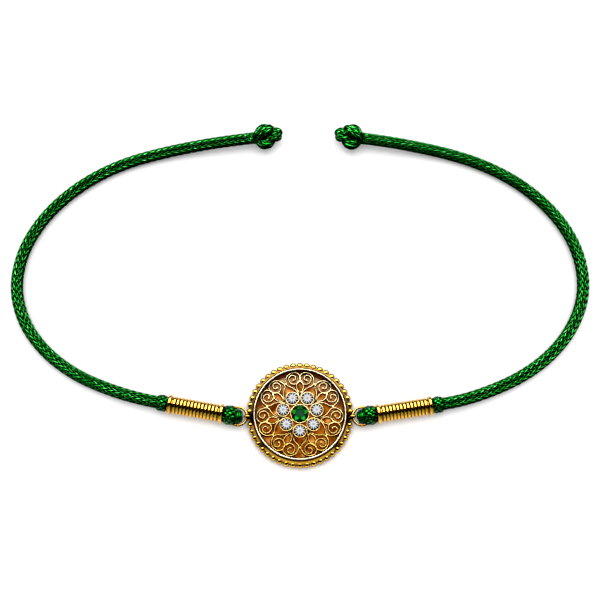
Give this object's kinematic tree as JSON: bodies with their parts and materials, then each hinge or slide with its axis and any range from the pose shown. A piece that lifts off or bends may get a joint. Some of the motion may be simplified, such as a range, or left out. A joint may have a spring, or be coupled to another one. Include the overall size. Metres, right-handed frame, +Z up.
{
  "type": "rakhi thread bracelet",
  "caption": "Thread bracelet with a round pierced gold medallion set with cut stones, ribbed sleeves and two braided green cord ties with end knots.",
  "frame": {"origin": "on the surface that the bracelet lies on, under the medallion's centre", "axes": "+Z up from the surface, +X along the bracelet through both sleeves, +Y from the medallion towards the ends of the ties"},
  "size_m": [0.1137, 0.0698, 0.005],
  "materials": {
    "gold_metal": "polished",
    "green_stone": "polished, cut",
    "clear_stone": "polished, cut",
    "green_thread": "satin thread, wound",
    "green_cord": "satin thread, braided"
  },
  "bodies": {
    "root": {"centre_stone": "green_stone", "left_cord": "green_cord", "left_end_knot": "green_cord", "left_inner_wrap": "green_thread", "left_jump_ring": "gold_metal", "left_outer_wrap": "green_thread", "left_sleeve": "gold_metal", "left_thread_loop": "green_thread", "medallion": "gold_metal", "right_cord": "green_cord", "right_end_knot": "green_cord", "right_inner_wrap": "green_thread", "right_jump_ring": "gold_metal", "right_outer_wrap": "green_thread", "right_sleeve": "gold_metal", "right_thread_loop": "green_thread", "white_stone_1": "clear_stone", "white_stone_2": "clear_stone", "white_stone_3": "clear_stone", "white_stone_4": "clear_stone", "white_stone_5": "clear_stone", "white_stone_6": "clear_stone", "white_stone_7": "clear_stone"}
  },
  "joints": []
}
